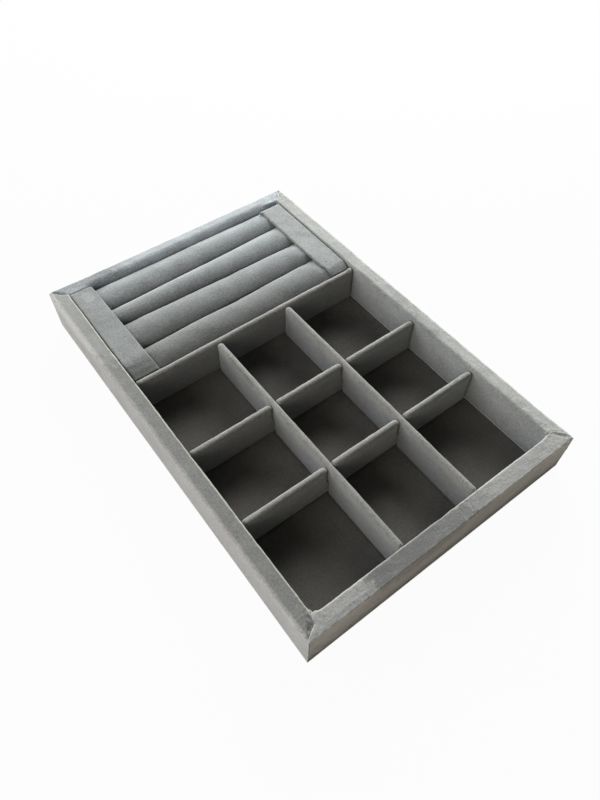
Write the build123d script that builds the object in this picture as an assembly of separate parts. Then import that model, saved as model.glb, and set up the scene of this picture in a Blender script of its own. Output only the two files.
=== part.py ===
"""Velvet-covered jewelry tray: mitred board frame, lift-out dividers and a lift-out ring insert.

Millimetres. Origin at the middle of the underside, X across the width, +Y towards the ring bars, +Z up.
"""

from build123d import *
from math import cos, radians, sin
import os

os.makedirs("parts", exist_ok=True)

# Overall size, over the velvet
tray_width = 180.0
tray_length = 270.0
tray_height = 30.0

# Sheet and board thicknesses
velvet = 0.5
frame_board = 8.5
base_board = 3.0
divider_board = 3.0
strip_card = 1.0
insert_card = 1.2

# Frame
rim_outer_round = 1.6
rim_inner_round = 1.2
cover_hem = 12.0

# Dividers
divider_drop = 2.0
divider_corner = 2.6
divider_edge_flat = 0.1
middle_column = 46.6
middle_row = 45.8
lap_height = 11.8

# Ring insert
bar_count = 4
bar_width = 20.8
bar_shoulder = 3.0
bar_foot_round = 2.0
crown_half_angle = 38.0
strip_drop = 0.7
strip_width = 14.2
strip_hem = 4.0
strip_edge_round = 0.7
strip_end_round = 0.5

# Clearances
lift_gap = 0.3
lap_gap = 0.3
seat_gap = 0.1

# What follows from the sizes above
wall = frame_board + 2 * velvet
inner_x = tray_width / 2 - wall
inner_y = tray_length / 2 - wall
base_top = velvet + base_board
floor_top = base_top + velvet
divider = divider_board + 2 * velvet
divider_top = tray_height - divider_drop
column_x = (middle_column + divider) / 2
insert_near = inner_y - 2 * lift_gap - bar_count * bar_width
main_y = insert_near - divider / 2
compartments_mid = (main_y - divider / 2 - inner_y) / 2
row_y = (middle_row + divider) / 2
lap_z = floor_top + lap_height
strip = strip_card + 2 * velvet
strip_top = tray_height - strip_drop
bar_foot = floor_top + insert_card
bar_top = strip_top - strip - seat_gap
insert_near_face = insert_near + lift_gap
insert_far_face = inner_y - lift_gap
insert_half_width = inner_x - lift_gap


def save(name, shape):
    """Writes one piece as parts/NAME.step."""
    shape.label = name
    export_step(shape, f"parts/{name}.step")


def slab(x_low, x_high, y_low, y_high, z_low, z_high):
    """A box between two corners."""
    size = Box(x_high - x_low, y_high - y_low, z_high - z_low)
    return Pos((x_low + x_high) / 2, (y_low + y_high) / 2, (z_low + z_high) / 2) * size


# Frame: four mitred boards, each in its own velvet cover


def wall_section(inset, foot):
    """Section of a wall, outer face at x = 0, drawn in by inset all round except at its foot."""
    low_x, high_x, top = inset, wall - inset, tray_height - inset
    outer_round = rim_outer_round - inset
    inner_round = rim_inner_round - inset
    outline = [
        Line((low_x, foot), (low_x, top - outer_round)),
        CenterArc((low_x + outer_round, top - outer_round), outer_round, 180, -90),
        Line((low_x + outer_round, top), (high_x - inner_round, top)),
        CenterArc((high_x - inner_round, top - inner_round), inner_round, 90, -90),
        Line((high_x, top - inner_round), (high_x, foot)),
        Line((high_x, foot), (low_x, foot)),
    ]
    return make_face(outline)


def cover_section():
    """Section of a wall's velvet: outer side, rim, inner side down to the base board, hem turned under."""
    around = wall_section(0, 0)
    board = wall_section(velvet, 0)
    under = Pos(velvet, 0) * Rectangle(wall, base_top, align=(Align.MIN, Align.MIN))
    hem = Rectangle(cover_hem, velvet, align=(Align.MIN, Align.MIN))
    return around - board - under + hem


def mitred_bar(section, run):
    """A section run along Y, centred, with both ends cut at 45 degrees, longest at its outer face."""
    bar = extrude(Plane.XZ * section, run / 2, both=True)
    depth = max(cover_hem, wall)
    half = run / 2
    plan = Polygon((0, -half), (depth, depth - half), (depth, half - depth), (0, half), align=None)
    return bar & extrude(plan, tray_height)


def around_frame(section):
    """The four sides of the frame in one section: left, right, front and back."""
    long_side = Pos(-tray_width / 2, 0, 0) * mitred_bar(section, tray_length)
    short_side = Pos(-tray_length / 2, 0, 0) * mitred_bar(section, tray_width)
    return {
        "left": long_side,
        "right": Rot(0, 0, 180) * long_side,
        "front": Rot(0, 0, 90) * short_side,
        "back": Rot(0, 0, -90) * short_side,
    }


def make_frame():
    for side, piece in around_frame(wall_section(velvet, base_top)).items():
        save(f"frame_board_{side}", piece)
    for side, piece in around_frame(cover_section()).items():
        save(f"wall_velvet_{side}", piece)
    board_x = tray_width / 2 - velvet
    board_y = tray_length / 2 - velvet
    cover_x = tray_width / 2 - cover_hem
    cover_y = tray_length / 2 - cover_hem
    save("base_board", slab(-board_x, board_x, -board_y, board_y, velvet, base_top))
    save("bottom_cover", slab(-cover_x, cover_x, -cover_y, cover_y, 0, velvet))
    save("floor_velvet", slab(-inner_x, inner_x, -inner_y, inner_y, base_top, floor_top))


# Dividers: a board in a velvet cover that is open at the foot, with rounded top and ends


def slot_shape(place, inset, from_above):
    """Outline cut for one lap slot, round at its closed end, open above or below."""
    half = divider / 2 + lap_gap + inset
    if from_above:
        closed = lap_z - lap_gap / 2 - inset
        middle = closed + half
        open_part = Pos(place, (middle + tray_height) / 2) * Rectangle(2 * half, tray_height - middle)
    else:
        closed = lap_z + lap_gap / 2 + inset
        middle = closed - half
        open_part = Pos(place, middle / 2) * Rectangle(2 * half, middle)
    return open_part + Pos(place, middle) * Circle(half)


def divider_plate(low, high, slots, from_above, inset):
    """A plate in the XZ plane from low to high along X, drawn in by inset except at its foot."""
    side = Pos((low + high) / 2, (floor_top + divider_top - inset) / 2) * Rectangle(
        high - low - 2 * inset, divider_top - inset - floor_top
    )
    for place in slots:
        side -= slot_shape(place, inset, from_above)
    near_top = divider_top - inset - divider_edge_flat
    side = fillet(side.vertices().filter_by(lambda v: v.Y > near_top), divider_corner - inset)
    half = divider / 2 - inset
    plate = extrude(Plane.XZ * side, half, both=True)
    at_foot = floor_top + divider_edge_flat
    soft = [e for face in plate.faces().filter_by(Axis.Y) for e in face.edges() if e.center().Z > at_foot]
    return fillet(soft, half - divider_edge_flat / 2)


def divider_pair(low, high, slots=(), from_above=True):
    """A divider's board and its velvet."""
    board = divider_plate(low, high, slots, from_above, velvet)
    cover = divider_plate(low, high, slots, from_above, 0) - board
    return board, cover


def make_dividers():
    half_span = inner_x - lift_gap
    columns = (-column_x, column_x)
    rows = (compartments_mid - row_y, compartments_mid + row_y)
    board, cover = divider_pair(-half_span, half_span)
    save("main_divider_board", Pos(0, main_y, 0) * board)
    save("main_divider_velvet", Pos(0, main_y, 0) * cover)
    board, cover = divider_pair(-half_span, half_span, columns, True)
    for name, y in zip(("near", "far"), rows):
        save(f"cross_divider_board_{name}", Pos(0, y, 0) * board)
        save(f"cross_divider_velvet_{name}", Pos(0, y, 0) * cover)
    long_low = lift_gap - inner_y
    long_high = main_y - divider / 2 - lift_gap
    board, cover = divider_pair(long_low, long_high, rows, False)
    for name, x in zip(("left", "right"), columns):
        stand = Pos(x, 0, 0) * Rot(0, 0, 90)
        save(f"long_divider_board_{name}", stand * board)
        save(f"long_divider_velvet_{name}", stand * cover)


# Ring insert: foam bars in velvet sleeves on a card, with a strip over each row of ends

crown_radius = (bar_width / 2 - bar_shoulder) / sin(radians(crown_half_angle)) + bar_shoulder
crown_z = bar_top - crown_radius
shoulder_y = bar_width / 2 - bar_shoulder
shoulder_z = crown_z + (crown_radius - bar_shoulder) * cos(radians(crown_half_angle))
bar_near_y = insert_near_face + bar_width / 2


def bar_section(inset):
    """Section of a foam bar: flat foot, upright sides, tight shoulders and a broad crown."""
    half = bar_width / 2 - inset
    foot = bar_foot + inset
    foot_round = bar_foot_round - inset
    shoulder = bar_shoulder - inset
    turn = 90 - crown_half_angle
    outline = [
        Line((foot_round - half, foot), (half - foot_round, foot)),
        CenterArc((half - foot_round, foot + foot_round), foot_round, -90, 90),
        Line((half, foot + foot_round), (half, shoulder_z)),
        CenterArc((shoulder_y, shoulder_z), shoulder, 0, turn),
        CenterArc((0, crown_z), crown_radius - inset, turn, 2 * crown_half_angle),
        CenterArc((-shoulder_y, shoulder_z), shoulder, 180 - turn, turn),
        Line((-half, shoulder_z), (-half, foot + foot_round)),
        CenterArc((foot_round - half, foot + foot_round), foot_round, 180, 90),
    ]
    return make_face(outline)


def make_bars():
    core = bar_section(velvet)
    sleeve = bar_section(0) - core
    for number in range(bar_count):
        place = Pos(0, bar_near_y + number * bar_width, 0)
        for name, section in (("ring_bar_foam", core), ("ring_bar_velvet", sleeve)):
            bar = extrude(Plane.YZ * section, insert_half_width, both=True)
            save(f"{name}_{number + 1}", place * bar)


def strip_section():
    """Side view of an end strip: flat from the back wall to the near bar, then down over its shoulder."""
    near = bar_near_y
    inner = seat_gap
    outer = seat_gap + strip
    turn = 90 - crown_half_angle
    low = strip_top - strip
    far = insert_far_face
    flat = [
        Line((near, low), (far, low)),
        Line((far, low), (far, strip_top - strip_end_round)),
        CenterArc((far - strip_end_round, strip_top - strip_end_round), strip_end_round, 0, 90),
        Line((far - strip_end_round, strip_top), (near, strip_top)),
        Line((near, strip_top), (near, low)),
    ]
    wrap = Pos(near, crown_z) * (Circle(crown_radius + outer) - Circle(crown_radius + inner))
    shoulder = Pos(near - shoulder_y, shoulder_z) * (
        Circle(bar_shoulder + outer) - Circle(bar_shoulder + inner)
    )
    slope = Vector(-sin(radians(crown_half_angle)), cos(radians(crown_half_angle)))
    crown_reach = slope * (crown_radius + bar_width)
    shoulder_reach = slope * (bar_shoulder + bar_width)
    crown_part = Pos(near, crown_z) * Polygon(
        (0, 0), (0, crown_radius + bar_width), (crown_reach.X, crown_reach.Y), align=None
    )
    shoulder_part = Pos(near - shoulder_y, shoulder_z) * Polygon(
        (0, 0), (shoulder_reach.X, shoulder_reach.Y), (-bar_width, 0), align=None
    )
    body = make_face(flat) + (wrap & crown_part) + (shoulder & shoulder_part)
    keep = Pos(insert_near_face, 0) * Rectangle(tray_length, tray_height, align=(Align.MIN, Align.MIN))
    return body & keep


def make_strips():
    mid_x = insert_half_width - strip_width / 2
    blank = Pos(mid_x, 0, 0) * extrude(Plane.YZ * strip_section(), strip_width / 2, both=True)
    top_edges = [e for e in blank.edges().filter_by(Axis.Y) if e.center().Z > strip_top - velvet]
    blank = fillet(top_edges, strip_edge_round)
    low_x = insert_half_width - strip_width + velvet
    high_x = insert_half_width - velvet
    far = insert_far_face - velvet
    low_z = strip_top - velvet - strip_card
    card = slab(low_x, high_x, bar_near_y, far, low_z, strip_top - velvet)
    window = slab(
        low_x + strip_hem, high_x - strip_hem, bar_near_y + strip_hem, far - strip_hem, low_z - velvet, low_z
    )
    cover = blank - card - window
    for name, turn in (("right", 0), ("left", 1)):
        save(f"end_strip_card_{name}", mirror(card, Plane.YZ) if turn else card)
        save(f"end_strip_velvet_{name}", mirror(cover, Plane.YZ) if turn else cover)


def make_insert():
    half = insert_half_width
    card = slab(-half, half, insert_near_face, insert_far_face, floor_top, bar_foot)
    save("ring_insert_card", card)
    make_bars()
    make_strips()


make_frame()
make_dividers()
make_insert()
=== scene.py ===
"""Looks of a velvet-covered jewelry tray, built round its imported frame. Metres, in the frame's own axes."""

import math
from functools import cached_property

import bmesh
import bpy
import numpy as np
from mathutils import Matrix, Vector, geometry


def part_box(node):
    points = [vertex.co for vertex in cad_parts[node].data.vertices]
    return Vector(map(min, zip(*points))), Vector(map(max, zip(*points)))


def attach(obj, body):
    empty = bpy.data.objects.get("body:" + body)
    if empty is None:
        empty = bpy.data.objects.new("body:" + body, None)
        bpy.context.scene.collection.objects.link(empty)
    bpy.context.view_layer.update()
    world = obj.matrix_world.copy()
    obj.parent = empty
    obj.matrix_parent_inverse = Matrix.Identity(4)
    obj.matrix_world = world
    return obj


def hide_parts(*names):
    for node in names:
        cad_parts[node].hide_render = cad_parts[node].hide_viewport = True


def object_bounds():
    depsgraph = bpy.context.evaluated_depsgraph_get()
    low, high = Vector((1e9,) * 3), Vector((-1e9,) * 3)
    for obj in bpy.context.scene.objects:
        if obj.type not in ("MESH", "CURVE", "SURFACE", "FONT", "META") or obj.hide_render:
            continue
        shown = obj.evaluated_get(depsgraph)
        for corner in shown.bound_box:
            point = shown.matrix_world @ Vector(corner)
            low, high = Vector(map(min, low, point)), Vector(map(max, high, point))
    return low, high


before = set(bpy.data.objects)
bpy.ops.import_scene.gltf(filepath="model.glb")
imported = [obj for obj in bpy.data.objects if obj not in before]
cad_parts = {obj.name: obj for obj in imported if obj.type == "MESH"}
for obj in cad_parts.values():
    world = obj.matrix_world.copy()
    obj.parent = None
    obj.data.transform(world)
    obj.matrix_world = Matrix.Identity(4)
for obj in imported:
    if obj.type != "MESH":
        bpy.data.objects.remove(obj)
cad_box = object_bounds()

MM = 0.001

# Sizes that the frame gives
half_x, half_y, rim_z = cad_box[1]
floor_low, floor_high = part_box("floor_velvet")
inner_x, inner_y, floor_top = floor_high
base_top = floor_low.z
VELVET = floor_top - base_top
wall = half_x - inner_x
hem = half_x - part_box("bottom_cover")[1].x

# Sizes that scene.py adds to the frame's
FOOT_ROUND = 0.7 * MM
CORNER_ROUND = 1.1 * MM
DIVIDER_CORNER = 2.1 * MM
DIVIDER_FLAT = 0.2 * MM
FOOT_TUCK = 0.9 * MM
HEM_GAP = 0.1 * MM
LAP_HEIGHT = 11.8 * MM
LAP_GAP = 0.1 * MM
# How far down the inner sides a wavy edge or a filled corner reaches
EDGE_REACH = 9 * MM
# Thickness of the velvet on dividers, bars and strips, and what each lining gives up for its uneven face
COVER_CLOTH = VELVET * 0.9
CREASE_ROOM = 0.4 * MM
BOTTOM_ROOM = 0.12 * MM


# Small tools

def swell(points, size, seed, waves=28):
    """A smooth random field of about unit spread over points, with features about size across."""
    rng = np.random.default_rng(seed)
    ways = rng.normal(size=(waves, 3))
    ways /= np.linalg.norm(ways, axis=1, keepdims=True)
    pitch = math.pi / size * rng.uniform(0.6, 1.4, waves)
    phase = rng.uniform(0, 2 * math.pi, waves)
    total = np.zeros(points.shape[:-1])
    for way, k, start in zip(ways, pitch, phase):
        total += np.sin(points @ way * k + start)
    return total * math.sqrt(2 / waves)


def smooth(x, low, high):
    """0 below low, 1 above high, with a smooth step between."""
    t = np.clip((np.asarray(x, float) - low) / (high - low), 0, 1)
    return t * t * (3 - 2 * t)


def hump(x, centre, half):
    """1 at centre, falling smoothly to nothing about two halves away."""
    return np.exp(-((np.asarray(x, float) - centre) / half) ** 2)


def even(start, end, count):
    """A run of count points from start to just before end."""
    start, end = np.array(start, float), np.array(end, float)
    return start + (end - start) * (np.arange(count) / count)[:, None]


def line(start, end, step):
    """Points from start to just before end, about step apart."""
    run = np.linalg.norm(np.array(end, float) - np.array(start, float))
    return even(start, end, max(1, round(run / step)))


def arc(centre, radius, start, end, count=8):
    """Points round an arc from start to just before end, in degrees."""
    turn = np.radians(start + (end - start) * np.arange(count) / count)
    return np.array(centre) + radius * np.stack([np.cos(turn), np.sin(turn)], axis=1)


def left_of(path, closed=False):
    """Unit normals to the left of a path's direction of travel."""
    if closed:
        along = np.roll(path, -1, axis=0) - np.roll(path, 1, axis=0)
    else:
        along = np.gradient(path, axis=0)
    along /= np.linalg.norm(along, axis=1, keepdims=True)
    return np.stack([-along[:, 1], along[:, 0]], axis=1)


def new_object(name, mesh):
    piece = bpy.data.objects.new(name, mesh)
    bpy.context.scene.collection.objects.link(piece)
    mesh.polygons.foreach_set("use_smooth", [True] * len(mesh.polygons))
    return piece


def grid_piece(name, points, closed=False):
    """A piece from a grid of points; closed joins the last column to the first."""
    rows, columns = points.shape[:2]
    last = columns if closed else columns - 1
    faces = [
        (r * columns + c, r * columns + (c + 1) % columns,
         (r + 1) * columns + (c + 1) % columns, (r + 1) * columns + c)
        for r in range(rows - 1) for c in range(last)
    ]
    mesh = bpy.data.meshes.new(name)
    mesh.from_pydata(points.reshape(-1, 3).tolist(), [], faces)
    return new_object(name, mesh)


def vectors(rows, key):
    """One vector of each row of mesh data, as an array."""
    values = np.zeros(len(rows) * 3)
    rows.foreach_get(key, values)
    return values.reshape(-1, 3)


def thicken(piece, thickness):
    """Gives a single skin its thickness, inwards from its face."""
    solid = piece.modifiers.new("cloth", "SOLIDIFY")
    solid.thickness = thickness
    solid.offset = -1


def close_ends(piece):
    """Caps the open ends of a tube."""
    bm = bmesh.new()
    bm.from_mesh(piece.data)
    bmesh.ops.holes_fill(bm, edges=[e for e in bm.edges if e.is_boundary], sides=0)
    bmesh.ops.recalc_face_normals(bm, faces=bm.faces)
    bm.to_mesh(piece.data)
    bm.free()


def finish_piece(piece, material, body, replaced):
    piece.data.materials.append(material)
    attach(piece, body)
    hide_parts(*replaced)


# Materials

class Nodes:
    """The node tree of a new material or world, with short calls to add nodes and link them."""

    def __init__(self, owner):
        owner.use_nodes = True
        self.owner, self.tree = owner, owner.node_tree
        self.tree.nodes.clear()

    @cached_property
    def place(self):
        return self.add("ShaderNodeTexCoord").outputs["Object"]

    def add(self, kind, **settings):
        node = self.tree.nodes.new(kind)
        for key, value in settings.items():
            setattr(node, key, value)
        return node

    def link(self, source, socket):
        self.tree.links.new(source, socket)

    def noise(self, size, detail=2.0, roughness=0.5, place=None):
        """A noise field from 0 to 1 whose features are about size metres across."""
        node = self.add("ShaderNodeTexNoise")
        self.link(place or self.place, node.inputs["Vector"])
        node.inputs["Scale"].default_value = 1 / size
        node.inputs["Detail"].default_value = detail
        node.inputs["Roughness"].default_value = roughness
        return node.outputs["Fac"]

    def spread(self, value, low, high, to_low, to_high):
        """Maps low to high onto to_low to to_high."""
        node = self.add("ShaderNodeMapRange")
        self.link(value, node.inputs["Value"])
        for key, number in zip(("From Min", "From Max", "To Min", "To Max"), (low, high, to_low, to_high)):
            node.inputs[key].default_value = number
        return node.outputs["Result"]

    def vary(self, noise, to_low, to_high):
        """Maps the part of a noise that is mostly used onto to_low to to_high."""
        return self.spread(noise, 0.3, 0.7, to_low, to_high)

    def math(self, operation, a, b):
        node = self.add("ShaderNodeMath", operation=operation)
        for value, socket in zip((a, b), node.inputs):
            if isinstance(value, (int, float)):
                socket.default_value = value
            else:
                self.link(value, socket)
        return node.outputs[0]

    def blend(self, share, colour_a, colour_b, kind="MIX"):
        node = self.add("ShaderNodeMix", data_type="RGBA", blend_type=kind)
        self.link(share, node.inputs["Factor"])
        for value, socket in ((colour_a, node.inputs[6]), (colour_b, node.inputs[7])):
            if isinstance(value, tuple):
                socket.default_value = (*value, 1)
            else:
                self.link(value, socket)
        return node.outputs[2]

    def bump(self, layers):
        """Bumps laid over each other: (height socket, depth in metres)."""
        normal = None
        for height, depth in layers:
            node = self.add("ShaderNodeBump")
            node.inputs["Strength"].default_value = 1.0
            node.inputs["Distance"].default_value = depth
            self.link(height, node.inputs["Height"])
            if normal is not None:
                self.link(normal, node.inputs["Normal"])
            normal = node.outputs["Normal"]
        return normal

    def surface(self, colour, roughness, normal, **settings):
        """The Principled surface. Settings are constants by socket name, with _ for a space."""
        shader = self.add("ShaderNodeBsdfPrincipled")
        output = self.add("ShaderNodeOutputMaterial")
        self.link(colour, shader.inputs["Base Color"])
        self.link(roughness, shader.inputs["Roughness"])
        self.link(normal, shader.inputs["Normal"])
        for key, value in settings.items():
            shader.inputs[key.replace("_", " ")].default_value = value
        self.link(shader.outputs["BSDF"], output.inputs["Surface"])
        return self.owner

    def two_ways(self, share, first, second, output):
        """Ends the tree in the first shader where share is 0 and in the second where it is 1."""
        mix = self.add("ShaderNodeMixShader")
        for source, socket in zip((share, first, second), mix.inputs):
            self.link(source, socket)
        self.link(mix.outputs["Shader"], self.add(output).inputs["Surface"])


def velvet(name, tone, sheen=0.75, blotches=0.45, patches=(), sheen_roughness=0.42, fades=(), marks=()):
    """Short-pile velvet of a mean colour: pile in blotches, patches of stroked pile and of painted light and
    shade, fine fibres and a soft sheen.

    A fade is (direction, start, end, factor): the colour is multiplied by factor at the end of that run; the
    fades paint light and shade.
    A mark is (centre, reach, factor): the colour is multiplied by factor inside it; the marks paint
    highlights and shade, and a few are lint specks.
    """
    n = Nodes(bpy.data.materials.new(name))
    blotch = n.noise(1.25 * MM, detail=2.0, roughness=0.6)
    drift = n.noise(14 * MM, detail=3.0)
    fibre = n.noise(0.3 * MM, detail=2.0, roughness=0.6)
    nap_and_painted_light = n.math("ADD", n.vary(blotch, -blotches, blotches), n.vary(drift, -0.2, 0.2))
    nap_and_painted_light = n.math("ADD", nap_and_painted_light, n.spread(fibre, 0.25, 0.75, -0.25, 0.25))
    for centre, reach, amount in patches:
        nap_and_painted_light = n.math("ADD", nap_and_painted_light, patch_of_nap_and_painted_light(n, centre, reach, amount))
    share = n.spread(nap_and_painted_light, -1.0, 1.0, 0.0, 1.0)
    deep, light = (tuple(part * factor for part in tone) for factor in (0.58, 1.42))
    colour = n.blend(share, deep, light)
    for way, start, end, factor in fades:
        dot = n.add("ShaderNodeVectorMath", operation="DOT_PRODUCT")
        n.link(n.place, dot.inputs[0])
        dot.inputs[1].default_value = way
        colour = n.blend(n.spread(dot.outputs["Value"], start, end, 0.0, 1.0), colour, factor, "MULTIPLY")
    for centre, reach, factor in marks:
        colour = n.blend(patch_of_nap_and_painted_light(n, centre, reach, 1.0), colour, factor, "MULTIPLY")
    rough = n.vary(blotch, 0.84, 1.0)
    normal = n.bump([(drift, 0.5 * MM), (blotch, 0.2 * MM), (fibre, 0.06 * MM)])
    return n.surface(
        colour, rough, normal,
        Sheen_Weight=sheen, Sheen_Roughness=sheen_roughness, Sheen_Tint=(0.93, 0.95, 0.92, 1),
        Specular_IOR_Level=0.12,
    )


def patch_of_nap_and_painted_light(n, centre, reach, amount):
    """A ragged patch, amount inside it and 0 outside. It stands for pile stroked the other way and for
    painted light and shade, and it places the marks.
    """
    offset = n.add("ShaderNodeVectorMath", operation="SUBTRACT")
    n.link(n.place, offset.inputs[0])
    offset.inputs[1].default_value = centre
    size = n.add("ShaderNodeVectorMath", operation="DIVIDE")
    n.link(offset.outputs["Vector"], size.inputs[0])
    size.inputs[1].default_value = reach
    far = n.add("ShaderNodeVectorMath", operation="LENGTH")
    n.link(size.outputs["Vector"], far.inputs[0])
    edge = n.vary(n.noise(4 * MM, detail=4.0), -0.25, 0.25)
    ragged = n.math("ADD", far.outputs["Value"], edge)
    return n.spread(ragged, 0.92, 1.08, amount, 0.0)


def fibreboard():
    n = Nodes(bpy.data.materials.new("fibreboard"))
    grain = n.noise(0.5 * MM, detail=4.0, roughness=0.7)
    cloud = n.noise(7 * MM)
    share = n.math("ADD", n.vary(grain, 0.1, 0.7), n.vary(cloud, -0.1, 0.3))
    colour = n.blend(share, (0.20, 0.125, 0.065), (0.42, 0.30, 0.18))
    return n.surface(colour, n.vary(grain, 0.75, 0.95), n.bump([(grain, 0.12 * MM)]),
                     Specular_IOR_Level=0.25)


def grey_card():
    n = Nodes(bpy.data.materials.new("grey_card"))
    fleck = n.noise(0.6 * MM, detail=5.0, roughness=0.75)
    cloud = n.noise(11 * MM)
    share = n.math("ADD", n.vary(fleck, 0.1, 0.8), n.vary(cloud, -0.1, 0.15))
    colour = n.blend(share, (0.26, 0.245, 0.215), (0.44, 0.425, 0.39))
    return n.surface(colour, n.vary(fleck, 0.7, 0.9), n.bump([(fleck, 0.05 * MM)]),
                     Specular_IOR_Level=0.3)


def foam():
    n = Nodes(bpy.data.materials.new("foam"))
    voronoi = n.add("ShaderNodeTexVoronoi")
    n.link(n.place, voronoi.inputs["Vector"])
    voronoi.inputs["Scale"].default_value = 1 / (0.9 * MM)
    cell = voronoi.outputs["Distance"]
    cloud = n.noise(5 * MM)
    share = n.math("ADD", n.spread(cell, 0.0, 0.8, 0.9, 0.1), n.vary(cloud, -0.1, 0.1))
    colour = n.blend(share, (0.10, 0.10, 0.105), (0.36, 0.36, 0.37))
    return n.surface(colour, n.spread(cell, 0.0, 0.8, 0.8, 1.0), n.bump([(cell, 0.4 * MM)]),
                     Specular_IOR_Level=0.15)


# Each wall's velvet: mean colour, patches made lighter or darker, fades, marks. The walls are one velvet;
# their mean colours differ as painted light, lightest at the back and right, and some patches and most fades
# and marks paint light and shade.
LEFT, NEAR, FAR, UP, DOWN = (-1, 0, 0), (0, -1, 0), (0, 1, 0), (0, 0, 1), (0, 0, -1)
WALLS = {
    "left": ((0.172, 0.174, 0.165), (
        # Painted light: the left rim lighter towards its far end
        ((-0.085, 0.112, 0.030), (0.012, 0.050, 0.012), 0.70),
        # Painted highlight: a pale line along the rim's inner edge
        ((-0.0803, 0.000, 0.0298), (0.0010, 0.300, 0.0012), 0.80),
        # Painted shade beside the near corner's seam
        ((-0.0844, -0.1284, 0.030), (0.0018, 0.0026, 0.003), -0.70),
    ), (
        # Painted light: the wall's outer side lighter
        (LEFT, 0.0876, 0.0896, (2.30, 2.20, 2.26)),
    ), (
        # Painted highlight: more of the pale line along the rim's inner edge
        ((-0.0805, 0.000, 0.0297), (0.0011, 0.300, 0.0014), (1.45, 1.47, 1.30)),
    )),
    "front": ((0.236, 0.236, 0.227), (
        ((-0.076, -0.130, 0.030), (0.0255, 0.016, 0.012), 0.48),
        ((-0.018, -0.130, 0.030), (0.0330, 0.016, 0.010), -1.00),
        ((-0.064, -0.1332, 0.030), (0.0160, 0.0015, 0.004), -0.60),
        ((0.060, -0.130, 0.030), (0.034, 0.012, 0.012), 0.45),
        # Painted highlight: a pale line along the rim's inner edge
        ((0.000, -0.1253, 0.0298), (0.200, 0.0010, 0.0012), 0.70),
    ), (
        # Painted light: the outer side lighter and warmer
        (NEAR, 0.1338, 0.1348, (2.22, 1.98, 1.76)),
        # Painted shade: the outer side darker towards its foot
        (DOWN, -0.0130, -0.0030, (0.12, 0.11, 0.09)),
    ), (
        # Painted light on the outer shoulder
        ((0.000, -0.1348, 0.0290), (0.200, 0.0009, 0.0014), (1.08, 1.14, 1.20)),
        # Painted shadow: a dark line along the outer side's foot
        ((0.050, -0.1350, 0.0030), (0.060, 0.0020, 0.0007), (0.55, 0.55, 0.55)),
    )),
    "right": ((0.302, 0.306, 0.290), (
        ((0.088, -0.080, 0.030), (0.006, 0.060, 0.008), 0.30),
        ((0.087, -0.020, 0.030), (0.006, 0.030, 0.008), -0.20),
        # Painted highlight: a pale line along the rim's outer edge
        ((0.0894, 0.000, 0.0296), (0.0010, 0.300, 0.0016), 0.70),
    ), (
        # Painted shade: the wall's inner side darker
        (LEFT, -0.0822, -0.0806, (0.84, 0.85, 0.88)),
    ), (
        ((0.0882, 0.0500, 0.0300), (0.0006, 0.0007, 0.001), (0.55, 0.55, 0.55)),
    )),
    # Painted cool light: the back wall lighter and bluer than the other walls
    "back": ((0.352, 0.387, 0.422), (
        ((0.020, 0.131, 0.030), (0.062, 0.010, 0.006), 0.60),
        ((-0.064, 0.131, 0.030), (0.022, 0.010, 0.006), -0.55),
    ), (
        # Painted shade: darker from the middle of the rim to the outer side
        (FAR, 0.1256, 0.1290, (0.78, 0.76, 0.72)),
    ), ()),
}
wall_velvets = {side: velvet(f"wall_velvet_{side}", tone, patches=patches, fades=fades, marks=marks)
                for side, (tone, patches, fades, marks) in WALLS.items()}
divider_velvet = velvet("divider_velvet", (0.160, 0.162, 0.163), patches=(
    # Painted light: the main divider's near face lighter
    ((0.000, 0.0375, 0.014), (0.090, 0.0026, 0.018), 0.25),
    # Painted shade on the left long divider between the far cross divider and the main divider
    ((-0.0280, 0.0090, 0.014), (0.0030, 0.0250, 0.018), -0.50),
    # Painted shade on the left part of the near cross divider
    ((-0.053, -0.0705, 0.014), (0.026, 0.0026, 0.018), -0.30),
), fades=(
    # Painted light: the faces lighter and warmer towards the top
    (UP, 0.0200, 0.0285, (1.36, 1.32, 1.22)),
    # Painted shadow: a dark line along the feet
    (DOWN, -0.0052, -0.0042, (0.50, 0.50, 0.50)),
), marks=(
    # Painted highlights where the dividers' top ends meet the right wall
    ((0.0794, 0.0400, 0.0285), (0.0016, 0.0026, 0.0016), (1.9, 1.95, 1.95)),
    ((0.0794, -0.0190, 0.0280), (0.0012, 0.0022, 0.0012), (1.7, 1.7, 1.7)),
    ((0.0790, -0.0700, 0.0280), (0.0012, 0.0022, 0.0012), (1.7, 1.7, 1.7)),
    ((-0.0276, -0.0020, 0.0250), (0.0007, 0.0008, 0.0008), (2.2, 2.2, 2.2)),
    ((-0.0276, -0.0224, 0.0155), (0.0006, 0.0006, 0.0006), (3.0, 3.0, 3.0)),
    ((0.0232, -0.0214, 0.0155), (0.0006, 0.0006, 0.0006), (3.0, 3.0, 3.0)),
    ((0.0232, -0.0700, 0.0155), (0.0006, 0.0006, 0.0006), (3.0, 3.0, 3.0)),
))
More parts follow.
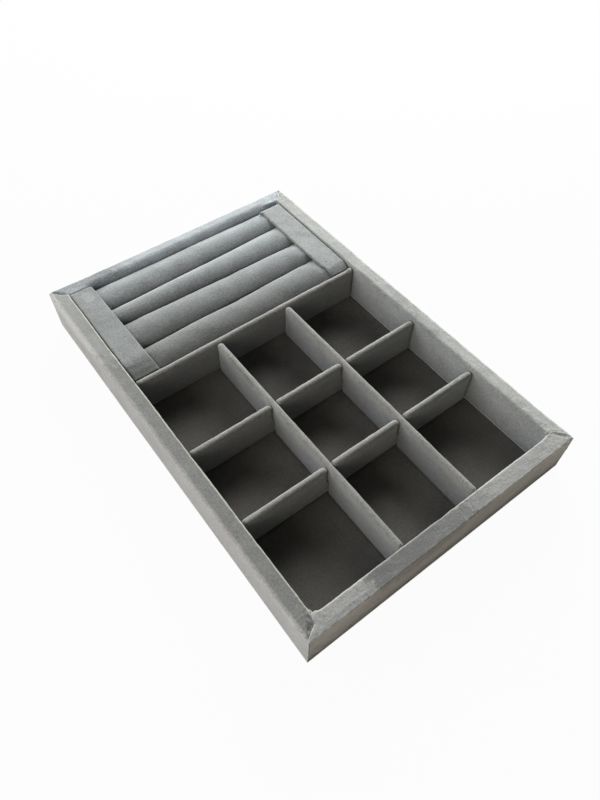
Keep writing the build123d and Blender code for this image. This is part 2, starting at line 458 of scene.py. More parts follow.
# Painted shade: the lining is darker than the other velvet partly for the shade in the deep compartments, and
# its patches are painted light and shade that even out the compartments' floors
lining_velvet = velvet("lining_velvet", (0.112, 0.106, 0.097), sheen=0.25, blotches=0.3, patches=(
    ((0.000, -0.044, 0.004), (0.024, 0.024, 0.010), 0.45),
    ((0.000, -0.098, 0.004), (0.024, 0.024, 0.010), 0.35),
    ((-0.053, -0.044, 0.004), (0.024, 0.024, 0.010), 0.35),
    ((0.000, 0.010, 0.004), (0.024, 0.024, 0.010), -0.30),
    ((0.053, 0.010, 0.004), (0.024, 0.024, 0.010), -0.50),
))
bar_velvet = velvet("bar_velvet", (0.133, 0.136, 0.131), sheen=1.0, sheen_roughness=0.34, fades=(
    # Painted cool light: lighter and bluer towards the far bars and the right
    ((0.30, 1.0, 0.0), 0.045, 0.130, (1.90, 1.98, 2.10)),
    # Painted shade: darker low down between the bars
    (DOWN, -0.0282, -0.0227, (0.50, 0.50, 0.49)),
), marks=(
    ((-0.0125, 0.0471, 0.0285), (0.0006, 0.0006, 0.0010), (1.6, 1.6, 1.6)),
    ((0.0610, 0.0777, 0.0285), (0.0006, 0.0006, 0.0010), (1.5, 1.5, 1.5)),
))
strip_velvet = velvet("strip_velvet", (0.200, 0.208, 0.203), sheen=0.85, patches=(
    # Painted light: the right strip lighter
    ((0.0730, 0.0850, 0.0300), (0.010, 0.0500, 0.004), 0.40),
    ((-0.0717, 0.1165, 0.0300), (0.0040, 0.0045, 0.003), 0.60),
), fades=(
    # Painted shade: darker down the slopes to the feet
    (DOWN, -0.0294, -0.0264, (0.42, 0.42, 0.41)),
), marks=(
    # Painted shade on the left strip's slope
    ((-0.0730, 0.0480, 0.0280), (0.0125, 0.0066, 0.0060), (0.76, 0.76, 0.76)),
    # Painted light on the right strip's slope
    ((0.0730, 0.0460, 0.0280), (0.0120, 0.0040, 0.0060), (1.15, 1.15, 1.15)),
    # Painted shade of a small dimple on the right strip
    ((0.0697, 0.0539, 0.0290), (0.0007, 0.0007, 0.0012), (0.5, 0.5, 0.5)),
    # Painted highlight along the right strip's far end
    ((0.0730, 0.1213, 0.0298), (0.0100, 0.0010, 0.0020), (1.25, 1.25, 1.25)),
))
bottom_velvet = velvet("bottom_velvet", (0.215, 0.217, 0.208), sheen=0.5)
board_material = fibreboard()
card_material = grey_card()
foam_material = foam()


# Frame: boards and their velvet covers, the floor's lining and the velvet underneath

# How far each mitre seam wanders off its line, set after the photograph: corner by (x side, y side), then
# (distance in, shift to the short wall) in millimetres
SEAMS = {
    (-1, 1): ((0, 0), (2.5, 0.8), (9, 0.8), (10, 0.3)),
    (1, 1): ((0, 0), (10, 0)),
    (1, -1): ((0, 0), (2.2, -0.8), (4.3, -1.5), (7, -1.8), (9.5, -0.3)),
    (-1, -1): ((0, 0), (2, -0.5), (4.8, 0.6), (6.9, 1.5), (8, 0), (9, -1.1), (10, -0.7)),
}
# How deep each mitre seam is, and how far the velvet fills each inner corner, in millimetres
SEAM_DEPTH = {(-1, 1): 0.8, (1, 1): 0.25, (1, -1): 0.7, (-1, -1): 0.3}
CORNER_FILL = {(-1, 1): 0.2, (1, 1): 0.4, (1, -1): 0.7, (-1, -1): 1.3}

# Folds gathered at the corners, in millimetres: start and end as distances in from the long and short sides,
# half width, height
FOLDS = {
    (-1, 1): (((2.0, 3.4), (6.5, 7.6), 0.7, -0.35),),
    (1, 1): (
        ((4.4, 1.3), (6.8, 7.4), 0.8, -0.45),
        ((2.4, 2.4), (5.1, 8.7), 0.8, -0.5),
        ((1.7, 6.2), (4.3, 11.8), 0.8, -0.45),
        ((3.2, 1.2), (5.9, 7.6), 0.8, 0.3),
        ((1.9, 4.4), (4.6, 10.2), 0.8, 0.3),
    ),
    (1, -1): (
        ((2.6, 3.6), (8.2, 8.3), 0.5, 0.35),
        ((3.8, 2.1), (7.3, 6.1), 0.5, -0.4),
    ),
    (-1, -1): (
        ((4.0, 5.0), (7.2, 8.6), 0.9, -0.7),
    ),
}


def wall_path(outer_round, inner_round):
    """A wall cover's section as (depth, height): hem, foot, outer side, rim and inner side."""
    top, shoulder = rim_z, 4 * MM
    return np.concatenate([
        even((hem, 0), (FOOT_ROUND, 0), 4),
        arc((FOOT_ROUND, FOOT_ROUND), FOOT_ROUND, 270, 180, 5),
        even((0, FOOT_ROUND), (0, top - shoulder), 16),
        even((0, top - shoulder), (0, top - outer_round), 5),
        arc((outer_round, top - outer_round), outer_round, 180, 90, 9),
        even((outer_round, top), (wall - inner_round, top), 20),
        arc((wall - inner_round, top - inner_round), inner_round, 90, 0, 9),
        even((wall, top - inner_round), (wall, base_top), 15),
        [(wall, base_top)],
    ])


def stations(half):
    """Places along a wall as shares of its half length, closer together near the ends."""
    corner = 14 * MM
    near = np.arange(0, corner, 0.36 * MM)
    rest = np.linspace(corner, half, round((half - corner) / (1.6 * MM)))
    from_end = np.concatenate([near, rest])
    share = 1 - from_end / half
    return np.concatenate([-share, share[-2::-1]])


def fold_lift(u, v, folds):
    """Height of the gathered folds near a corner, at distances u and v in from its two sides."""
    total = np.zeros(u.shape)
    for start, end, half, height in folds:
        (u0, v0), (u1, v1) = np.array(start) * MM, np.array(end) * MM
        run = math.hypot(u1 - u0, v1 - v0)
        along = ((u - u0) * (u1 - u0) + (v - v0) * (v1 - v0)) / run
        off = ((u - u0) * (v1 - v0) - (v - v0) * (u1 - u0)) / run
        beyond = np.maximum(np.maximum(-along, along - run), 0)
        total += height * MM * np.exp(-(off ** 2 + beyond ** 2) / (half * MM) ** 2)
    return total


def shape_corners(points, on_top):
    """Moves the rim's velvet at the corners: wandering seams, gathered folds, filled inner corners."""
    for (side_x, side_y), seam in SEAMS.items():
        u = half_x - side_x * points[..., 0]
        v = half_y - side_y * points[..., 1]
        inward, off = (u + v) / 2, (u - v) / math.sqrt(2)
        near = np.exp(-(off / (2.6 * MM)) ** 2) * on_top
        places, shifts = np.array(seam).T * MM
        shift = np.interp(inward, places, shifts) * near / math.sqrt(2)
        points[..., 2] += fold_lift(u, v, FOLDS[side_x, side_y]) * on_top
        high_up = smooth(points[..., 2], rim_z - EDGE_REACH, rim_z)
        inner_side = smooth(np.maximum(u, v), wall - 3 * MM, wall) * high_up
        fill = CORNER_FILL[side_x, side_y] * MM * inner_side
        fill *= np.exp(-(off / (1.9 * MM)) ** 2) * hump(inward, wall + 1 * MM, 3.2 * MM)
        points[..., 0] -= side_x * (shift + fill)
        points[..., 1] += side_y * (shift - fill)


def turned(points, turn):
    """Points turned about Z by so many degrees."""
    c, s = math.cos(math.radians(turn)), math.sin(math.radians(turn))
    return points @ np.array([[c, s, 0], [-s, c, 0], [0, 0, 1]])


def wall_cover(side, half, turn, outer_round, inner_round, wave, firm_from=1.0):
    """The velvet round one frame board, mitred at both ends. Drawn on the side x = -half_x, then turned.

    The rim stays firm from the wall's start to -firm_from, a share of the half length, then rolls softly.
    """
    corner_path, middle_path = wall_path(CORNER_ROUND, CORNER_ROUND), wall_path(outer_round, inner_round)
    share = stations(half)
    away = smooth((1 - np.abs(share)) * half, wall - 2 * MM, wall + 9 * MM)[:, None, None]
    away = away * smooth(share, -firm_from, 0.07 - firm_from)[:, None, None]
    path = corner_path + (middle_path - corner_path) * away
    outward = left_of(corner_path) + (left_of(middle_path) - left_of(corner_path)) * away
    depth, height = path[..., 0], path[..., 1]
    across = half_x if half == half_y else half_y
    along = share[:, None] * (half - depth)
    inner_edge = smooth(depth, wall - 4 * MM, wall) * smooth(height, rim_z - EDGE_REACH, rim_z - 2 * MM)
    places = np.stack([along, 0 * along, 0 * along], axis=-1)
    sway = wave * inner_edge * away[..., 0] * swell(places, 10 * MM, turn + 5, 9)
    points = turned(np.stack([depth - across + np.maximum(sway, 0), along, height], axis=-1), turn)
    normal = turned(np.stack([outward[..., 0], 0 * depth, outward[..., 1]], axis=-1), turn)
    lift = 0.08 * MM * swell(points, 26 * MM, 11) + 0.05 * MM * swell(points, 4 * MM, 12)
    lift += 0.03 * MM * swell(points, 1.5 * MM, 13)
    to_seam = (1 - np.abs(share))[:, None] * (half - depth)
    for side_x, side_y in SEAMS:
        here = (side_x * points[..., 0] > 0) & (side_y * points[..., 1] > 0)
        deep = SEAM_DEPTH[side_x, side_y] * MM
        off_inner = 1 - 0.8 * smooth(depth, wall - 2.5 * MM, wall - 0.5 * MM)
        off_tip = smooth(depth, 0.3 * MM, 2.2 * MM) * off_inner
        lift -= here * deep * off_tip * np.exp(-to_seam / (0.5 * MM))
    above_foot = smooth(points[..., 2], 0.2 * MM, 2 * MM)
    points = points + normal * (lift * above_foot)[..., None]
    shape_corners(points, smooth(outward[..., 1], 0.2, 0.95) * above_foot)
    core = frame_core(side, half, turn)
    piece = grid_piece(f"wall_cover_{side}", points)
    thicken(piece, VELVET)
    finish_piece(piece, wall_velvets[side], "tray", [f"wall_velvet_{side}"])


def frame_core(side, half, turn):
    """The board under a wall cover, its top edges eased so that the velvet's folds have room."""
    low, top, ease = base_top, rim_z - 2 * VELVET, 2.2 * MM
    inner = wall - VELVET
    path = np.concatenate([
        even((VELVET, low), (VELVET, top - ease), 6),
        arc((VELVET + ease, top - ease), ease, 180, 90, 6),
        even((VELVET + ease, top), (inner - ease, top), 4),
        arc((inner - ease, top - ease), ease, 90, 0, 6),
        even((inner, top - ease), (inner, low), 6),
        even((inner, low), (VELVET, low), 4),
    ])
    across = half_x if half == half_y else half_y
    share = np.linspace(-1, 1, 25)
    along = share[:, None] * (half - path[None, :, 0])
    depth, height = (np.broadcast_to(part, along.shape) for part in path.T)
    core = grid_piece(f"frame_core_{side}", turned(np.stack([depth - across, along, height], axis=-1), turn),
                      closed=True)
    close_ends(core)
    finish_piece(core, board_material, "tray", [f"frame_board_{side}"])
    return core


wall_cover("left", half_y, 0, outer_round=1.9 * MM, inner_round=1.3 * MM, wave=0)
wall_cover("front", half_x, 90, outer_round=1.0 * MM, inner_round=1.3 * MM, wave=0)
wall_cover("right", half_y, 180, outer_round=1.6 * MM, inner_round=2.0 * MM, wave=0.25 * MM, firm_from=0.33)
wall_cover("back", half_x, 270, outer_round=1.6 * MM, inner_round=4.2 * MM, wave=0.25 * MM)


def divider_feet():
    """Where the dividers press on the lining: (x low, x high, y low, y high)."""
    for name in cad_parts:
        if "divider_velvet" in name:
            low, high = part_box(name)
            yield low.x, high.x, low.y, high.y


def lining_lines(half, edges, step):
    """Grid lines from -half to half about step apart, with extra ones beside each edge."""
    crease = 0.45 * MM
    extra = [edge + shift for edge in (*edges, -half, half) for shift in (-crease, 0, crease)]
    lines = np.concatenate([np.linspace(-half, half, round(2 * half / step)), extra])
    lines = np.unique(np.round(lines[np.abs(lines) <= half + 1e-9], 6))
    return lines[np.concatenate([[True], np.diff(lines) > 0.1 * MM])]


def level_grid(x, y, height):
    """A level grid of points where the lines x and y cross."""
    points = np.stack(np.meshgrid(x, y), axis=-1)
    return np.concatenate([points, np.full((*points.shape[:2], 1), height)], axis=-1)


def floor_lining():
    """The velvet on the base board, creased along the walls and along the dividers' feet."""
    feet = list(divider_feet())
    x = lining_lines(inner_x, [value for foot in feet for value in foot[:2]], 1.5 * MM)
    y = lining_lines(inner_y, [value for foot in feet for value in foot[2:]], 1.5 * MM)
    points = level_grid(x, y, floor_top)
    to_wall = np.minimum(inner_x - np.abs(points[..., 0]), inner_y - np.abs(points[..., 1]))
    creased = hump(to_wall, 0, 0.5 * MM)
    for x_low, x_high, y_low, y_high in feet:
        out_x = np.maximum(x_low - points[..., 0], points[..., 0] - x_high)
        out_y = np.maximum(y_low - points[..., 1], points[..., 1] - y_high)
        creased = np.maximum(creased, hump(np.maximum(out_x, out_y), 0, 0.4 * MM))
    drop = 0.06 * MM + 0.04 * MM * np.clip(swell(points, 18 * MM, 51), -1.5, 1.5)
    points[..., 2] -= np.maximum(drop, 0.34 * MM * creased)
    piece = grid_piece("floor_lining", points)
    thicken(piece, VELVET - CREASE_ROOM)
    finish_piece(piece, lining_velvet, "tray", ["floor_velvet"])


def bottom_lining():
    """The velvet under the base board, between the wall covers' hems."""
    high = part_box("bottom_cover")[1]
    x_half, y_half = high.x - HEM_GAP, high.y - HEM_GAP
    x, y = (lining_lines(half, [], 2 * MM) for half in (x_half, y_half))
    points = level_grid(x, y, 0.0)
    points[..., 2] = BOTTOM_ROOM / 2 + BOTTOM_ROOM / 4 * np.clip(swell(points, 18 * MM, 57), -1.5, 1.5)
    piece = grid_piece("bottom_lining", points[:, ::-1])
    thicken(piece, VELVET - BOTTOM_ROOM)
    finish_piece(piece, bottom_velvet, "tray", ["bottom_cover"])


floor_lining()
bottom_lining()


# Dividers: velvet covers with rounded tops, ends and slots, open at the foot

def divider_runs(low, high, foot, top, slots, from_above, slot_half, lap_z, c):
    """The edges of a divider's side view, each from foot to foot with the material on its right."""
    step = 1.2 * MM
    over = [line((low, foot), (low, top - c), step), arc((low + c, top - c), c, 180, 90)]
    cut, place = [], low + c
    if from_above:
        closed = lap_z - LAP_GAP / 2
        for at in slots:
            left, right, floor = at - slot_half, at + slot_half, closed + slot_half
            over += [
                line((place, top), (left - c, top), step),
                arc((left - c, top - c), c, 90, 0),
                line((left, top - c), (left, floor), step),
                arc((at, floor), slot_half, 180, 360, 14),
                line((right, floor), (right, top - c), step),
                arc((right + c, top - c), c, 180, 90),
            ]
            place = right + c
    else:
        closed = lap_z + LAP_GAP / 2
        for at in reversed(slots):
            left, right, roof = at - slot_half, at + slot_half, closed - slot_half
            cut.append(np.concatenate([
                line((right, foot), (right, roof), step),
                arc((at, roof), slot_half, 0, 180, 14),
                line((left, roof), (left, foot), step),
                [(left, foot)],
            ]))
    over += [
        line((place, top), (high - c, top), step),
        arc((high - c, top - c), c, 90, 0),
        line((high, top - c), (high, foot), step),
        [(high, foot)],
    ]
    return [np.concatenate(over), *cut]


def flat_side(loop, y):
    """Triangles that fill one flat side of a divider inside loop, with inner points to shape it."""
    low, high = loop.min(axis=0), loop.max(axis=0)
    pitch = 2.0 * MM
    at_foot = low[1] + FOOT_TUCK * np.array((0.35, 0.7, 1))
    heights = np.concatenate([at_foot, np.arange(low[1] + pitch, high[1], pitch)])
    u, z = np.meshgrid(np.arange(low[0] + pitch, high[0], pitch), heights)
    inner = np.stack([u.ravel(), z.ravel()], axis=1)
    gap = np.linalg.norm(inner[:, None, :] - loop[None, :, :], axis=2).min(axis=1)
    inner = inner[gap > 0.3 * pitch]
    flat = [Vector(p) for p in np.concatenate([loop, inner])]
    found = geometry.delaunay_2d_cdt(flat, [], [list(range(len(loop)))], 1, 1e-7)
    points = [(p.x, y, p.y) for p in found[0]]
    return points, [tuple(face) for face in found[2]]


def divider_mesh(name, runs, thickness):
    """A plate with fully rounded edges along its runs and open feet, in its own X and Z."""
    radius = (thickness - DIVIDER_FLAT) / 2
    turns = np.radians(np.concatenate([np.linspace(0, 90, 9), np.linspace(90, 180, 9)]))
    across = np.repeat([1, -1], 9) * DIVIDER_FLAT / 2 + radius * np.cos(turns)
    inset = radius * (1 - np.sin(turns))
    bm = bmesh.new()
    loops = []
    for run in runs:
        outward = left_of(run)
        rings = [
            [bm.verts.new((p[0], y, p[1])) for p in run - outward * t]
            for t, y in zip(inset, across)
        ]
        for ring, after in zip(rings, rings[1:]):
            for a, b, c, d in zip(ring, ring[1:], after[1:], after):
                bm.faces.new((a, b, c, d))
        loops.append(run - outward * radius)
    loop = np.concatenate(loops)
    for y in (thickness / 2, -thickness / 2):
        points, faces = flat_side(loop, y)
        made = [bm.verts.new(p) for p in points]
        for face in faces:
            bm.faces.new([made[i] for i in face])
    bmesh.ops.remove_doubles(bm, verts=bm.verts, dist=0.002 * MM)
    bmesh.ops.recalc_face_normals(bm, faces=bm.faces)
    mesh = bpy.data.meshes.new(name)
    bm.to_mesh(mesh)
    bm.free()
    piece = new_object(name, mesh)
    heights = vectors(mesh.vertices, "co")[:, 2] - floor_top
    if (vectors(mesh.vertex_normals, "vector")[:, 2] * heights).sum() < 0:
        mesh.flip_normals()
    return piece


def divider_piece(name, box, slots, from_above, inset, nib, seed):
    """A divider's outer form, or its board's when inset by the velvet, in the divider's place."""
    low, high = box
    along_y = high.y - low.y > high.x - low.x
    start, end = (low.y, high.y) if along_y else (low.x, high.x)
    thickness = min(high.x - low.x, high.y - low.y)
    lap_z = floor_top + LAP_HEIGHT + (-inset if from_above else inset)
    runs = divider_runs(start + inset, end - inset, floor_top, high.z - inset, slots, from_above,
                        thickness / 2 + LAP_GAP + inset, lap_z, DIVIDER_CORNER - inset)
    piece = divider_mesh(name, runs, thickness - 2 * inset)
    co = vectors(piece.data.vertices, "co")
    off_foot = smooth(co[:, 2], floor_top, floor_top + 3 * MM)
    lift = 0.06 * MM * swell(co, 22 * MM, seed) + 0.04 * MM * swell(co, 4 * MM, seed + 1)
    co = co + vectors(piece.data.vertex_normals, "vector") * (lift * off_foot)[:, None]
    co[:, 1] *= 1 - 0.22 * (1 - smooth(co[:, 2], floor_top, floor_top + FOOT_TUCK)) ** 2
    if along_y:
        co = np.stack([-co[:, 1] + (low.x + high.x) / 2, co[:, 0], co[:, 2]], axis=1)
    else:
        co[:, 1] += (low.y + high.y) / 2
        co[:, 2] += nib * smooth(co[:, 0], high.x - 2.8 * MM, high.x - 1.6 * MM) * smooth(
            co[:, 2], high.z - 4 * MM, high.z)
    piece.data.vertices.foreach_set("co", co.ravel())
    piece.data.update()
    return piece


def divider_cover(name, body, slots=(), from_above=True, seed=0, nib=0.0):
    """A divider's board and its velvet, which stands on the lining and keeps the CAD cover's box.

    A nib is the folded end of the velvet that stands up at the right-hand end of the top.
    """
    board, node = name.replace("_divider", "_divider_board"), name.replace("_divider", "_divider_velvet")
    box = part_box(node)
    core = divider_piece(board.replace("board", "core"), box, slots, from_above, VELVET, 0.0, seed)
    close_ends(core)
    finish_piece(core, board_material, body, [board])
    piece = divider_piece(node.replace("velvet", "cover"), box, slots, from_above, 0.0, nib, seed)
    thicken(piece, COVER_CLOTH)
    finish_piece(piece, divider_velvet, body, [node])


def middle(node, axis):
    low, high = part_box(node)
    return (low[axis] + high[axis]) / 2


columns = [middle(f"long_divider_velvet_{side}", 0) for side in ("left", "right")]
rows = [middle(f"cross_divider_velvet_{place}", 1) for place in ("near", "far")]
divider_cover("main_divider", "main_divider", seed=61, nib=0.9 * MM)
for number, place in enumerate(("near", "far")):
    divider_cover(f"cross_divider_{place}", "divider_grid", columns, True, 71 + 5 * number)
for number, side in enumerate(("left", "right")):
    divider_cover(f"long_divider_{side}", f"long_divider_{side}", rows, False, 91 + 5 * number)


# End strips: velvet folded round a strip of card, over the bars' ends and down behind the main divider

STRIP_THICK = 1.4 * MM
STRIP_HEM = 4.0 * MM
STRIP_PRESS = 0.2 * MM
STRIP_ROUND = 1.0 * MM
STRIP_WALL_GAP = 0.4 * MM
# Where along the strips their inner edges begin to draw and where they are fully drawn
DRAW_START, DRAW_END = 57 * MM, 46 * MM
# How far in under a strip the bars begin to be pressed
PRESS_REACH = 6 * MM
# By side, in millimetres: far end, height at the far end and at the crease, place of the crease, the inner
# edge's distance from the tray's middle at the far end and at the crease, how far its far corner flares
# inwards, and how far the edge draws outwards at the near end
STRIPS = {
    "left": {"end": 125.2, "far_z": 30.2, "crease_z": 29.5, "crease_y": 54.8, "edge": (65.5, 64.3),
             "flare": 0.0, "draw": -0.8},
    "right": {"end": 122.0, "far_z": 29.9, "crease_z": 29.2, "crease_y": 48.2, "edge": (64.4, 64.6),
              "flare": 1.4, "draw": 1.5},
}


def strip_line(strip):
    """An end strip's top line as (y, z): up its far end, over the bars and the crease, down to its foot."""
    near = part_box("end_strip_velvet_left")[0].y + 0.1 * MM
    end, far_z, crease_z, crease_y = (strip[key] * MM for key in ("end", "far_z", "crease_z", "crease_y"))
    r, bend = STRIP_ROUND, 1.3 * MM
    foot_z = 25.2 * MM
    bend_z = 27.1 * MM
    return np.concatenate([
        line((end, far_z - STRIP_THICK), (end, far_z - r), 0.5 * MM),
        arc((end - r, far_z - r), r, 0, 90, 6),
        line((end - r, far_z), (crease_y, crease_z), 1.1 * MM),
        line((crease_y, crease_z), (near + bend * 0.75, bend_z), 0.4 * MM),
        arc((near + bend, bend_z - bend * 0.85), bend, 105, 180, 7),
        line((near, bend_z - bend * 0.85), (near, foot_z - 2 * MM), 0.6 * MM),
        [(near, foot_z - 2 * MM)],
    ])


# Ring insert: padded bars and the strips over their ends

BARS = 4
BAR_SHOULDER = 2.2 * MM
BAR_FOOT_ROUND = 2.0 * MM
CROWN_HALF_ANGLE = 36.0
CROWN_HEIGHT = 28.95 * MM
# How far each valley between bars lies from its even place, at the left wall and at the right wall
VALLEY_SHIFT = {
    0: (0, 0),
    1: (-0.2 * MM, 1.3 * MM),
    2: (3.9 * MM, 0.7 * MM),
    3: (-2.2 * MM, 2.1 * MM),
    4: (0, 0),
}


def pressed(points):
    """The bars' points with their ends pressed down under the end strips."""
    for side, turn in (("left", -1), ("right", 1)):
        line_y, line_z = strip_line(STRIPS[side]).T
        top = line_z > line_z[0] - 3 * MM
        edge = np.interp(points[..., 1], (STRIPS[side]["crease_y"] * MM, STRIPS[side]["end"] * MM),
                         [value * MM for value in STRIPS[side]["edge"][::-1]])
        x = turn * points[..., 0] - edge
        roof = np.interp(points[..., 1], line_y[top][::-1], line_z[top][::-1])
        roof -= STRIP_THICK - STRIP_PRESS
        over = np.maximum(points[..., 2] - roof, 0) * smooth(x, -PRESS_REACH, 0.2 * MM)
        points[..., 2] -= over
    return points


def bar_path(half, foot, top, inset):
    """A bar's section about its middle as (across, height), from the foot's middle round and back."""
    crown = math.radians(CROWN_HALF_ANGLE)
    turn = 90 - CROWN_HALF_ANGLE
    radius = (half - BAR_SHOULDER) / math.sin(crown) + BAR_SHOULDER
    crown_z = top - radius
    shoulder_z = crown_z + (radius - BAR_SHOULDER) * math.cos(crown)
    shoulder_y = half - BAR_SHOULDER
    wide, foot, foot_round = half - inset, foot + inset, BAR_FOOT_ROUND - inset
    step = 1.8 * MM
    return np.concatenate([
        line((0, foot), (wide - foot_round, foot), 2 * step),
        arc((wide - foot_round, foot + foot_round), foot_round, 270, 360, 5),
        line((wide, foot + foot_round), (wide, shoulder_z), step),
        arc((shoulder_y, shoulder_z), BAR_SHOULDER - inset, 0, turn, 6),
        arc((0, crown_z), radius - inset, turn, 180 - turn, 26),
        arc((-shoulder_y, shoulder_z), BAR_SHOULDER - inset, 180 - turn, 180, 6),
        line((-wide, shoulder_z), (-wide, foot + foot_round), step),
        arc((foot_round - wide, foot + foot_round), foot_round, 180, 270, 5),
        line((foot_round - wide, foot), (0, foot), 2 * step),
    ])


def valley_shift(number, x):
    left, right = VALLEY_SHIFT[number]
    share = (x + inner_x) / (2 * inner_x)
    return left + (right - left) * share


def bar_points(number, inset, seed):
    """A grid of points round a bar, with the stations along X as its rows."""
    low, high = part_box(f"ring_bar_velvet_{number}")
    half, mid = (high.y - low.y) / 2, (high.y + low.y) / 2
    path = bar_path(half, low.z, CROWN_HEIGHT, inset)
    x = np.linspace(low.x, high.x, 160)
    grid = np.broadcast_to(path[None], (len(x), *path.shape))
    across, height = grid[..., 0].copy(), grid[..., 1].copy()
    near, far = valley_shift(number - 1, x), valley_shift(number, x)
    share = (across + half) / (2 * half)
    y = mid + across + near[:, None] * (1 - share) + far[:, None] * share
    points = np.stack([np.broadcast_to(x[:, None], y.shape), y, height], axis=-1)
    outward = -left_of(path, closed=True)
    lift = 0.14 * MM * swell(points, 26 * MM, seed) + 0.05 * MM * swell(points, 6 * MM, seed + 1)
    lift -= 0.12 * MM
    lift *= smooth(points[..., 2], low.z + 1 * MM, low.z + 5 * MM)
    points[..., 1] += outward[:, 0] * lift
    points[..., 2] += outward[:, 1] * lift
    return pressed(points)


def ring_bar(number):
    """One foam bar and its velvet sleeve."""
    node = f"ring_bar_velvet_{number}"
    seed = 110 + 7 * number
    core = grid_piece(f"ring_bar_core_{number}", bar_points(number, VELVET, seed)[:, ::-1], closed=True)
    close_ends(core)
    finish_piece(core, foam_material, "ring_insert", [f"ring_bar_foam_{number}"])
    points = bar_points(number, 0, seed)
    sleeve = grid_piece(f"ring_bar_sleeve_{number}", points, closed=True)
    thicken(sleeve, COVER_CLOTH)
    finish_piece(sleeve, bar_velvet, "ring_insert", [node])


for number in range(1, BARS + 1):
    ring_bar(number)


def strip_half(side):
    """Half the width of an end strip."""
    low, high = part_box(f"end_strip_velvet_{side}")
    return (high.x - low.x) / 2


def strip_across(half):
    """A strip's section as (across, down from its top): hem, side, top, side and hem."""
    r, low_r, step = STRIP_ROUND, 0.4 * MM, 0.9 * MM
    return np.concatenate([
        line((half - STRIP_HEM, STRIP_THICK), (half - low_r, STRIP_THICK), step),
        arc((half - low_r, STRIP_THICK - low_r), low_r, 90, 0, 4),
        arc((half - r, r), r, 0, -90, 8),
        line((half - r, 0), (r - half, 0), step),
        arc((r - half, r), r, -90, -180, 8),
        arc((low_r - half, STRIP_THICK - low_r), low_r, 180, 90, 4),
        line((low_r - half, STRIP_THICK), (STRIP_HEM - half, STRIP_THICK), step),
        [(STRIP_HEM - half, STRIP_THICK)],
    ])


def strip_points(side, section, seed):
    """A grid over an end strip: rows along its line, columns across its section."""
    strip, half = STRIPS[side], strip_half(side)
    turn = -1 if side == "left" else 1
    path = strip_line(strip)
    up = -left_of(path)
    y, z = path[:, 0], path[:, 1]
    end, crease_y = strip["end"] * MM, strip["crease_y"] * MM
    outer = inner_x - STRIP_WALL_GAP
    inner = np.interp(y, (crease_y, end), [value * MM for value in strip["edge"][::-1]])
    inner = inner - strip["flare"] * MM * smooth(y, end - 2.2 * MM, end - 0.6 * MM)
    inner = inner + strip["draw"] * MM * smooth(-y, -DRAW_START, -DRAW_END)
    round_in = 1.3 * MM if strip["flare"] == 0 else 0.7 * MM
    at_end = np.clip((y - (end - round_in)) / round_in, 0, 1)
    inner = inner + round_in * (1 - np.sqrt(1 - at_end ** 2 * 0.98))
    share = (section[:, 0] + half) / (2 * half)
    across = inner[:, None] + (outer - inner)[:, None] * share[None, :]
    shrink = np.where(up[:, 1] < 0.05, 0.3, 1.0)[:, None]
    down = section[None, :, 1] * shrink
    along, height = y[:, None] - up[:, :1] * down, z[:, None] - up[:, 1:] * down
    points = np.stack([turn * across, along, height], axis=-1)
    slope = smooth(-y, -crease_y - 0.5 * MM, -crease_y + 1 * MM)[:, None]
    start, after = (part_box(f"ring_bar_velvet_{number}")[0].y for number in (1, 2))
    pitch = after - start
    wave = np.cos(2 * math.pi * (points[..., 1] - start) / pitch) * (1 - slope)
    near_edge = 1 - share[None, :]
    lift = -0.05 * MM * wave * (0.35 + near_edge)
    lift += 0.07 * MM * swell(points, 15 * MM, seed) + 0.04 * MM * swell(points, 4 * MM, seed + 1)
    slant = points[..., 1] + 0.12 * (across - inner_x)
    lift -= 0.18 * MM * hump(slant, crease_y - 0.9 * MM, 0.7 * MM)
    drawn_out = np.stack([across * 0.15, y[:, None] + 0 * across, 0 * across], axis=-1)
    lift += 0.035 * MM * slope * swell(drawn_out, 1.6 * MM, seed + 2)
    flat_part = smooth(up[:, 1], 0.3, 0.9)[:, None]
    points[..., 2] += lift * flat_part
    return points, path


def end_strip(side, seed):
    """The velvet wrapped round one end strip's card."""
    half = strip_half(side)
    points, path = strip_points(side, strip_across(half), seed)
    if side == "left":
        points = points[:, ::-1]
    piece = grid_piece(f"end_strip_cover_{side}", points)
    thicken(piece, COVER_CLOTH)
    finish_piece(piece, strip_velvet, "ring_insert", [f"end_strip_velvet_{side}"])


def strip_core(side, seed):
    """The card inside an end strip, bent as its velvet is."""
    skin = VELVET * 1.1
    reach, thick = strip_half(side) - skin, STRIP_THICK - 2 * skin
    top = line((reach, skin), (-reach, skin), 1.6 * MM)
    under = line((-reach, skin + thick), (reach, skin + thick), 1.6 * MM)
    section = np.concatenate([top, [(-reach, skin)], under, [(reach, skin + thick)]])
    points, path = strip_points(side, section, seed)
    crease_y, end = STRIPS[side]["crease_y"] * MM, STRIPS[side]["end"] * MM
    rows = (path[:, 0] > crease_y) & (path[:, 0] < end - STRIP_ROUND)
    points = points[rows]
    core = grid_piece(f"end_strip_core_{side}", points, closed=True)
    close_ends(core)
    finish_piece(core, card_material, "ring_insert", [f"end_strip_card_{side}"])


for side, seed in (("left", 151), ("right", 161)):
    strip_core(side, seed)
    end_strip(side, seed)


# The base board and the ring insert's card keep their own solids

for name, material in (("base_board", board_material), ("ring_insert_card", card_material)):
    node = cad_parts[name]
    node.data.materials.clear()
    node.data.materials.append(material)


# Floor, light and camera

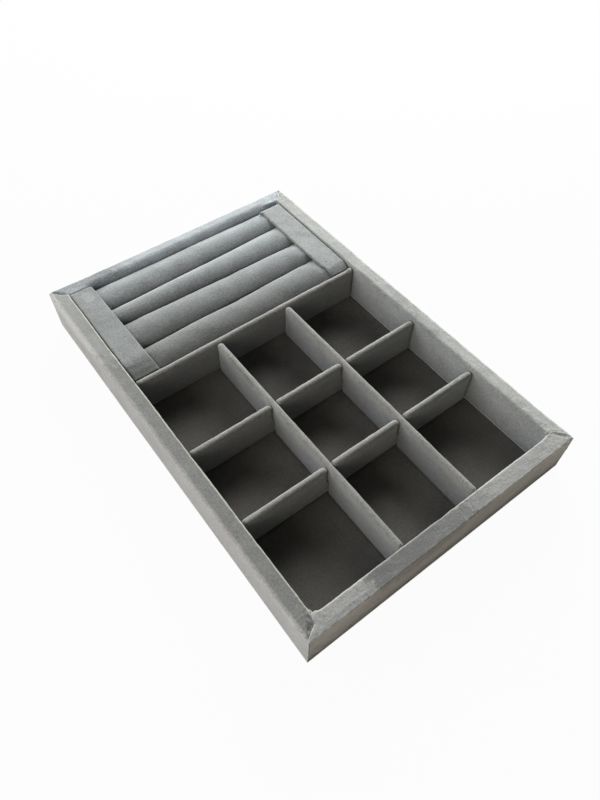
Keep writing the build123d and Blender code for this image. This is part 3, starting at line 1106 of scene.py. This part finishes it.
def stage_floor():
    """A plain white floor that stays white in the picture and keeps the tray's shadow."""
    reach, level = 4.0, -0.2 * MM
    floor = grid_piece("studio_floor", level_grid((-reach, reach), (-reach, reach), level))
    n = Nodes(bpy.data.materials.new("studio_floor"))
    path = n.add("ShaderNodeLightPath")
    plain = n.add("ShaderNodeBsdfDiffuse")
    plain.inputs["Color"].default_value = (0.38, 0.38, 0.38, 1)
    white = n.add("ShaderNodeEmission")
    white.inputs["Strength"].default_value = 1.0
    white_share = 0.96
    seen = n.math("MULTIPLY", path.outputs["Is Camera Ray"], white_share)
    n.two_ways(seen, plain.outputs["BSDF"], white.outputs["Emission"], "ShaderNodeOutputMaterial")
    floor.data.materials.append(n.owner)


def world_light():
    """Even grey light from all round, which the camera sees as white."""
    world = bpy.data.worlds.new("studio")
    bpy.context.scene.world = world
    n = Nodes(world)
    path = n.add("ShaderNodeLightPath").outputs
    clear = n.math("MAXIMUM", path["Is Camera Ray"], path["Is Transmission Ray"])
    skies = []
    for colour, strength in (((0.95, 0.97, 1.0, 1), 0.05), ((1, 1, 1, 1), 1.0)):
        sky = n.add("ShaderNodeBackground")
        sky.inputs["Color"].default_value = colour
        sky.inputs["Strength"].default_value = strength
        skies.append(sky.outputs["Background"])
    n.two_ways(clear, *skies, "ShaderNodeOutputWorld")


LAMP_SIZE, LAMP_DISTANCE, LAMP_ELEVATION = 0.7, 1.1, 25
# By name: azimuth in degrees, power, colour
LAMPS = {
    "right_back_window": (-45, 29.5, (0.98, 1.0, 1.0)),
    "left_window": (90, 8.2, (0.97, 0.98, 1.0)),
    "left_back_window": (45, 4.0, (1.0, 1.0, 1.0)),
    "near_fill": (135, 1.25, (1.0, 0.85, 0.6)),
}


def lamp(name, azimuth, power, colour):
    """A square area lamp aimed at the tray. Azimuth 0 is towards +Y, 90 towards -X."""
    data = bpy.data.lights.new(name, "AREA")
    data.size, data.energy, data.color = LAMP_SIZE, power, colour
    a, e = math.radians(azimuth), math.radians(LAMP_ELEVATION)
    way = Vector((-math.sin(a) * math.cos(e), math.cos(a) * math.cos(e), math.sin(e)))
    lamp_object = bpy.data.objects.new(name, data)
    lamp_object.location = way * LAMP_DISTANCE
    lamp_object.rotation_mode = "QUATERNION"
    lamp_object.rotation_quaternion = way.to_track_quat("Z", "Y")
    bpy.context.scene.collection.objects.link(lamp_object)


# The photograph's viewpoint, worked out from the tray's corners in its 600 by 800 pixels: azimuth, elevation
# and roll in degrees, place in metres, focal length and picture height in pixels
CAMERA_ANGLES = (-37.722, 53.926, 0.796)
CAMERA_PLACE = (-0.1422, -0.1939, 0.3198)
FOCAL_PIXELS, PHOTO_HEIGHT = 641.9, 800
SENSOR_MM = 36


def photo_camera():
    azimuth, elevation, roll = (math.radians(x) for x in CAMERA_ANGLES)
    level = math.cos(elevation)
    back = Vector((math.sin(azimuth) * level, -math.cos(azimuth) * level, math.sin(elevation)))
    right = Vector((math.cos(azimuth), math.sin(azimuth), 0))
    up = back.cross(right)
    side = right * math.cos(roll) + up * math.sin(roll)
    top = up * math.cos(roll) - right * math.sin(roll)
    data = bpy.data.cameras.new("camera")
    data.lens = SENSOR_MM * FOCAL_PIXELS / PHOTO_HEIGHT
    data.clip_start, data.clip_end = 0.01, 20
    camera = bpy.data.objects.new("camera", data)
    camera.matrix_world = Matrix((side, top, back)).transposed().to_4x4()
    camera.location = CAMERA_PLACE
    bpy.context.scene.collection.objects.link(camera)
    bpy.context.scene.camera = camera


stage_floor()
world_light()
for name, settings in LAMPS.items():
    lamp(name, *settings)
photo_camera()
bpy.context.scene.view_settings.view_transform = "Standard"
